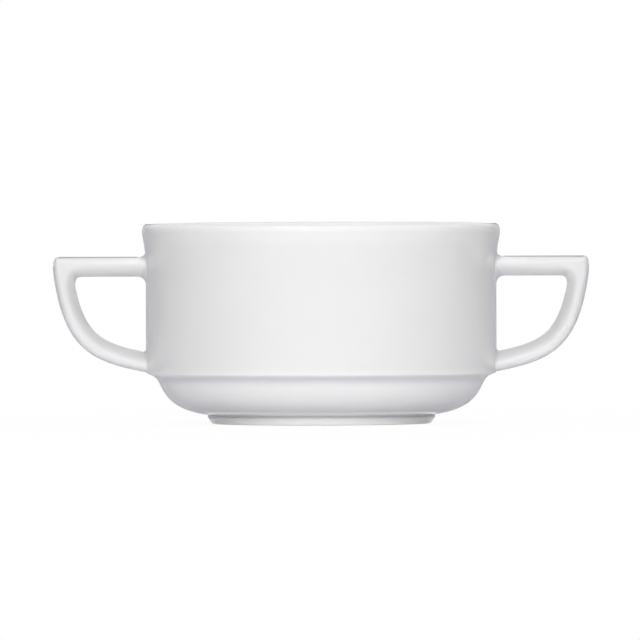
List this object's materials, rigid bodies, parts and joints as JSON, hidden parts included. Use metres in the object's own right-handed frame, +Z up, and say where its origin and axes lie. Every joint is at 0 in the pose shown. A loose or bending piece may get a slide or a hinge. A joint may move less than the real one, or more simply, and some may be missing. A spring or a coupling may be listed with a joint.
{
  "type": "soup cup",
  "caption": "Stacking soup cup in white glazed porcelain: straight wall with a flared rounded lip, stepped lower bowl on a foot ring, and an open D-shaped handle on each side.",
  "frame": {"origin": "on the table under the middle of the cup, in the plane of the foot ring's standing face", "axes": "+Z up, X through both handles, Y across the cup"},
  "size_m": [0.156, 0.104, 0.0582],
  "materials": {
    "glazed_porcelain": "white porcelain under a clear gloss glaze",
    "foot_porcelain": "gloss glaze on the sides, bare ground porcelain on the standing face",
    "slip": "fired porcelain slip under the same clear gloss glaze"
  },
  "bodies": {
    "root": {"cup_body": "glazed_porcelain", "foot_ring": "foot_porcelain", "foot_slip_joint": "slip", "left_handle": "glazed_porcelain", "left_upper_slip_joint": "slip", "left_lower_slip_joint": "slip", "right_handle": "glazed_porcelain", "right_upper_slip_joint": "slip", "right_lower_slip_joint": "slip"}
  },
  "joints": []
}
